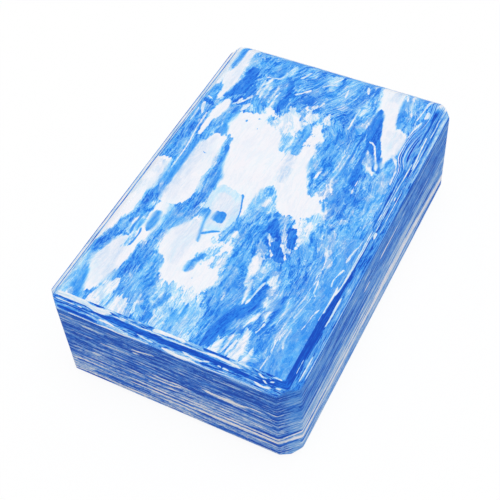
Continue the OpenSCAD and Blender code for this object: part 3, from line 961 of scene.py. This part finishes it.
def top_foam(x, y, z):
    """The noises that marble the top face, by name. The base carries the same, turned over.

    Most come in threes. Each is stretched to the width and length of its cells.
    """
    upright = calculate("SIGN", z - CENTRE[2])
    x = x * upright
    level = upright * 7
    broad = clouds(x / 45, y / 70, level)
    swirl = clouds(x / 14, y / 24, level)
    bends = clouds(x / 4, y / 9, level)
    crumbs = clouds(x / 5, y / 8, level, detail=6.0, roughness=0.7)
    # how the foam flows: stirred most on the right and at the back, and leaning at both ends
    turmoil = 0.4 + 0.5 * rise(x, *STIR_RIGHT) + 0.6 * rise(y, *STIR_BACK)
    at_back = rise(y, *LEAN_BACK) * rise(size(x + 8), 45.0, 25.0)
    at_front = rise(y, *LEAN_FRONT) * rise(size(x - 32), 24.0, 8.0)
    lean = 0.5 * at_back * (y - 85) + 0.35 * at_front * (y + 80)
    bend = 8 * broad[0] + turmoil * (3.5 * swirl[0] + 0.8 * bends[0]) + 0.4 * crumbs[0]
    flow_x = x + bend - lean
    flow_y = y + turmoil * (6 * swirl[1] + 1.5 * bends[1])
    patches = clouds(flow_x / 5, flow_y / 22, level, detail=5.0, roughness=0.6)
    tongues = clouds(flow_x / 2.2, flow_y / 13, level + 3, detail=4.0, roughness=0.6)
    threads = clouds(flow_x / 1.0, flow_y / 7, level + 5, detail=3.0, roughness=0.6)
    loops = clouds(flow_x / 7, flow_y / 12, level + 9, detail=3.0, roughness=0.6)
    smudge = rise(loops[2], 0.12, 0.32)
    specks = cloud(x / 0.9, y / 1.3, level)
    grains = cloud(flow_x / 0.5, flow_y / 2.5, level)
    return SimpleNamespace(**locals())


def top_fibre(foam):
    """Fine streaks, hairs and specks: how far they move the top face's tone."""
    in_patches = rise(foam.patches[2], -0.06, 0.12)
    curls = veins(foam.loops[0], 0.018) + veins(foam.loops[1], 0.018)
    hairs = (
        veins(foam.patches[1], 0.02)
        + veins(foam.tongues[1], 0.035) * in_patches
        + veins(foam.threads[1], 0.05) * (1 - in_patches)
        + 1.4 * foam.turmoil * curls
    )
    busy = 0.55 + 0.75 * rise(foam.swirl[2], 0.2, -0.2)
    return most(DEEPEST_FIBRE, (
        0.15 * halves(foam.patches[0], 0.10)
        + 0.20 * halves(foam.tongues[0], 0.10)
        + 0.20 * busy * halves(foam.threads[0], 0.12)
        + 0.08 * busy * halves(foam.specks, 0.15)
        + 0.22 * busy * foam.grains
        + 0.22 * hairs
        + 0.20 * foam.smudge
        - 0.08 * veins(foam.tongues[2], 0.03)
    ))


def layer_fibre(foam, fibre, layer, inside):
    """The fibre of one layer. The bundle and the rim have hair lines that follow their edges."""
    if layer.strokes is BUNDLE:
        across = inside + 1.5 * foam.threads[1] + foam.bends[2]
        hair_lines = cloud(across / 0.9, foam.y / 25, foam.level)
        return 0.8 * fibre + 1.4 * most(1.3 * hair_lines - 0.1, 0.0) * rise(inside, 12.0, 6.0)
    if layer.strokes is RIM:
        hair_lines = cloud((inside + 0.3 * foam.threads[1]) / 0.5, foam.y / 40, foam.level)
        return 1.7 * hair_lines + 0.3 * foam.grains - 0.14 * rise(inside, 3.5, 6.0)
    return fibre


def top_wander(foam):
    """Three noises for ragged edges, wilder where the streaks break up into crumbs."""
    crumbly = rise(depth_inside(foam.y, foam.x, CRUMBLY_PLACES, FACE_WAY), -5.0, 2.0)
    wildness = 1.4 * (0.8 + 3.4 * crumbly)
    return [wildness * crumb + 0.45 * thread for crumb, thread in zip(foam.crumbs, foam.threads)]


def top_tone(x, y, z):
    """The tone and tint of the top face's marbling."""
    foam = top_foam(x, y, z)
    fibre = top_fibre(foam)
    wander = top_wander(foam)
    cast = 1.2 * foam.patches[1] + 0.6 * foam.threads[2] - 0.6 * foam.smudge
    blur = 0.7 + 4 * rise(foam.swirl[2], -0.1, 0.35)
    fringe = rise(foam.swirl[0], -0.3, 0.3)
    feathers = cloud(foam.x / 1.8, y / 14, foam.level, detail=1.0)
    front_feathers = 2.5 * rise(y, *FEATHER_FRONT)
    tone = GROUND_TONE + fibre
    tint = GROUND_TINT + cast
    for number, layer in enumerate(FACE_LAYERS):
        feathered_y = y + (1.6 * layer.ragged + front_feathers) * feathers
        inside = depth_inside(feathered_y, foam.x + foam.swirl[1], layer.strokes, FACE_WAY)
        edge = inside + (layer.ragged * wander[number % 3] + 0.4 * foam.grains)
        if layer.fringe:
            band = rise(edge + layer.fringe * fringe, -0.6, 0.8)
            tone = mix(band, tone, FRINGE_TONE + fibre)
            tint = mix(band, tint, FRINGE_TINT + cast)
        mask = rise(edge / (layer.softness * blur), -1.0, 1.0)
        streaks = layer.streak * layer_fibre(foam, fibre, layer, inside)
        tone = mix(mask, tone, layer.tone + streaks)
        tint = mix(mask, tint, layer.tint + cast)
    return tone, tint


def side_tone(x, y, z):
    """The tone and tint where the foam's layers come out on the sides and bevels."""
    above = size(z - CENTRE[2]) - (HALF[2] - BEVEL_DROP)
    shrink = most(above, 0.0) * (BEVEL_INSET / BEVEL_DROP)
    on_bevel = rise(above, -1.0, 0.5)
    front = rise(size(y) - HALF[1] + shrink, -6.0, -2.0)
    far_side = rise(y / HALF[1] - x / HALF[0], -0.05, 0.05)
    far_bevel = far_side * on_bevel
    lower = rise(size(z - PALE_HEIGHT) + 4 * front, 26.0, 10.0)
    broad = clouds(x / 38, y / 38, z / 14)
    height = z + broad[0]
    strata = clouds(x / 30, y / 30, height / 1.8, detail=4.0, roughness=0.75)
    leaves = clouds(x / 11, y / 11, height / (0.8 - 0.5 * on_bevel))
    flecks = cloud(x / 2.8, y / 2.8, height / (0.52 - 0.2 * on_bevel), detail=3.0, roughness=0.65)
    fibre = (
        (0.80 + 0.40 * front + 0.40 * lower) * strata[0]
        + (0.56 + 0.34 * front) * leaves[0]
        + (0.42 + front * (0.45 + 0.50 * lower)) * flecks
        + 0.16 * (0.4 + 0.7 * front) * veins(leaves[2], 0.06)
    )
    tone = mix(on_bevel, side_ground(front, lower), bevel_ground(above, front, far_side)) + fibre
    tint = 0.9 - 0.6 * front * (1 - on_bevel) - 0.1 * far_bevel + 0.8 * strata[2]
    way_round = x + y + HALF[1] + (1 - 2 * front) * shrink
    for number, layer in enumerate(SIDE_LAYERS):
        inside = depth_inside(way_round, z + 0.5 * broad[1], layer.strokes, SIDE_WAY)
        wander = layer.ragged * (1.6 * strata[1 + number % 2] + leaves[1] + flecks)
        mask = rise(inside + wander, -layer.softness, layer.softness) * (1 - far_bevel)
        tone = mix(mask, tone, layer.tone + layer.streak * fibre)
    return tone, tint


def side_ground(front, lower):
    """The plain tone of the sides: deeper at the front and back, and paler low down."""
    return 0.20 - 0.12 * front + (0.23 - 0.02 * front) * lower


def bevel_ground(above, front, far_side):
    """The plain tone of the bevels: pale on the far ones, but for two deep lines."""
    rim_line = (1 - front) * rise(above, 1.0, 0.5)
    face_line = rise(size(above - FAR_LINE_RISE + 0.95 * front), 0.5, 0.25)
    deep_lines = most(rim_line, 0.85 * face_line)
    return 0.24 - 0.02 * front + far_side * (0.72 - 0.88 * deep_lines)


def on_top(x, y):
    """1 on the flat of the top face and the base, and 0 on their bevels."""
    from_sides = least(x - FACE_LEFT, FACE_RIGHT - x)
    from_ends = least(y - FACE_FRONT, FACE_BACK - y)
    corner_reach = HALF[0] + HALF[1] - CORNER_CHAMFER - CORNER_MARGIN
    from_corners = math.sqrt(0.5) * (corner_reach - size(x) - size(y))
    return rise(least(least(from_sides, from_ends), from_corners), -0.15, 0.25)


def palette(tone, tint, tones, lavenders, cyans):
    """The colour of a tone and tint."""
    return mix_colour(tint, ramp(tone, tones, lavenders), ramp(tone, tones, cyans))


def foam_colour(x, y, z):
    """The foam's colour at a place. The sides take their palette of painted side light, and the bevels'
    colours are halfway between the face's and the sides', which paints shade on the bevels.
    """
    on_face = on_top(x, y)
    outer, inner = side_tone(x, y, z), top_tone(x, y, z)
    tone, tint = [mix(on_face, *values) for values in zip(outer, inner)]
    face_colour = palette(tone, tint, FACE_TONES, FACE_LAVENDERS, FACE_CYANS)
    side_colour = palette(tone, tint, SIDE_TONES, SIDE_LAVENDERS, SIDE_CYANS)
    # Painted shade: the sides take the whole of the sides' duller palette, and the bevels half of it, which
    # darkens them.
    below_bevel = HALF[2] - BEVEL_DROP - size(z - CENTRE[2])
    on_side = 0.5 * (1 - on_face) + 0.5 * rise(below_bevel, -0.8, 0.6)
    return mix_colour(on_side, face_colour, side_colour)


def new_material(name):
    """A material with nodes, and its shader."""
    material = bpy.data.materials.new(name)
    material.use_nodes = True
    return material, material.node_tree.nodes["Principled BSDF"]


def new_object(name, data):
    """An object in the scene."""
    thing = bpy.data.objects.new(name, data)
    bpy.context.collection.objects.link(thing)
    return thing


def marbled_foam():
    """Matt closed-cell foam: marbled faces, layered sides and fine pores."""
    material, shader = new_material("marbled_foam")
    here = add_node(material.node_tree, "TexCoord", {}, output="Object")
    place = [part / MM for part in parts(here)]
    pores = cloud(*[part / PORE_SIZE for part in place])
    grain = cloud(*[part / length for part, length in zip(place, GRAIN_SIZE)])
    bump = {"Height": 0.7 * pores + 0.5 * grain, "Strength": BUMP_STRENGTH, "Distance": BUMP_DEPTH * MM}
    feed(shader.inputs["Base Color"], foam_colour(*place))
    feed(shader.inputs["Normal"], add_node(material.node_tree, "Bump", bump))
    feed(shader.inputs["Roughness"], ROUGHNESS + ROUGHNESS_SPREAD * grain)
    feed(shader.inputs["Specular IOR Level"], SPECULAR)
    return material


def foam_block():
    """The piece that stands for the CAD solid."""
    block = new_object("marbled_block", block_mesh())
    block.data.materials.append(marbled_foam())
    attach(block, "root")
    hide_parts(NODE)


def camera_rays(tree):
    """1 where a ray should see the plain white background, 0 where it only carries light."""
    paths = tree.nodes.new("ShaderNodeLightPath")
    names = ("Is Camera Ray", "Is Glossy Ray", "Is Transmission Ray")
    camera, glossy, through = [Term(tree, paths.outputs[name]) for name in names]
    return most(most(camera, glossy), through)


def paper_floor():
    """A plain pale floor: the camera sees it white, with a share of the block's shadow on it."""
    mesh = bpy.data.meshes.new("floor")
    side = FLOOR_SIDE / 2
    corners = [(-side, -side, 0), (side, -side, 0), (side, side, 0), (-side, side, 0)]
    mesh.from_pydata(corners, [], [(0, 1, 2, 3)])
    floor = new_object("floor", mesh)
    material, shader = new_material("floor_paper")
    feed(shader.inputs["Base Color"], (FLOOR_COLOUR, FLOOR_COLOUR, FLOOR_COLOUR, 1))
    feed(shader.inputs["Roughness"], FLOOR_ROUGHNESS)
    feed(shader.inputs["Specular IOR Level"], 0.0)
    tree = material.node_tree
    paper = Term(tree, shader.outputs["BSDF"])
    shade = add_node(tree, "BsdfDiffuse", {"Color": WHITE})
    glow = add_node(tree, "Emission", {"Color": WHITE, "Strength": 1.0})
    seen = add_node(tree, "MixShader", {0: SHADOW_SHARE, 1: glow, 2: shade})
    mixed = add_node(tree, "MixShader", {0: camera_rays(tree), 1: paper, 2: seen})
    feed(tree.nodes["Material Output"].inputs["Surface"], mixed)
    mesh.materials.append(material)
    floor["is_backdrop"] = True


def sky():
    """A sky that lights the block evenly, and that the camera sees as plain white."""
    world = bpy.data.worlds.new("studio")
    bpy.context.scene.world = world
    world.use_nodes = True
    background = world.node_tree.nodes["Background"]
    feed(background.inputs["Color"], WHITE)
    feed(background.inputs["Strength"], mix(camera_rays(world.node_tree), SKY_LEVEL, 1.0))


def direction(azimuth, elevation):
    """The unit vector that points from the block to a place around it."""
    across = math.cos(elevation)
    return Vector((math.sin(azimuth) * across, -math.cos(azimuth) * across, math.sin(elevation)))


def overhead_lamp():
    """A broad soft lamp, nearly straight overhead."""
    lamp = bpy.data.lights.new("overhead", "SUN")
    lamp.energy = LAMP_LEVEL * math.pi
    lamp.angle = LAMP_SPREAD
    overhead = new_object("overhead", lamp)
    towards = direction(LAMP_AZIMUTH, math.pi / 2 - LAMP_TILT)
    overhead.rotation_mode = "QUATERNION"
    overhead.rotation_quaternion = towards.to_track_quat("Z", "Y")


def photo_camera():
    """The camera that sees the block as the photograph does."""
    data = bpy.data.cameras.new("photo_camera")
    data.lens = CAMERA_LENS
    data.sensor_width = CAMERA_SENSOR
    camera = new_object("photo_camera", data)
    back = direction(CAMERA_AZIMUTH, CAMERA_ELEVATION)
    camera.location = (CAMERA_AIM + CAMERA_DISTANCE * back) * MM
    camera.rotation_mode = "QUATERNION"
    roll = Quaternion((0, 0, 1), CAMERA_ROLL)
    camera.rotation_quaternion = back.to_track_quat("Z", "Y") @ roll
    bpy.context.scene.camera = camera


def save_sizes():
    """Works out the CAD box and the visual model's box, in metres."""
    boxes = {"cad": cad_box, "visual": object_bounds()}
    lists = {name: [list(corner) for corner in corners] for name, corners in boxes.items()}


photo_camera()
sky()
overhead_lamp()
paper_floor()
foam_block()
bpy.context.scene.view_settings.view_transform = "Standard"
save_sizes()
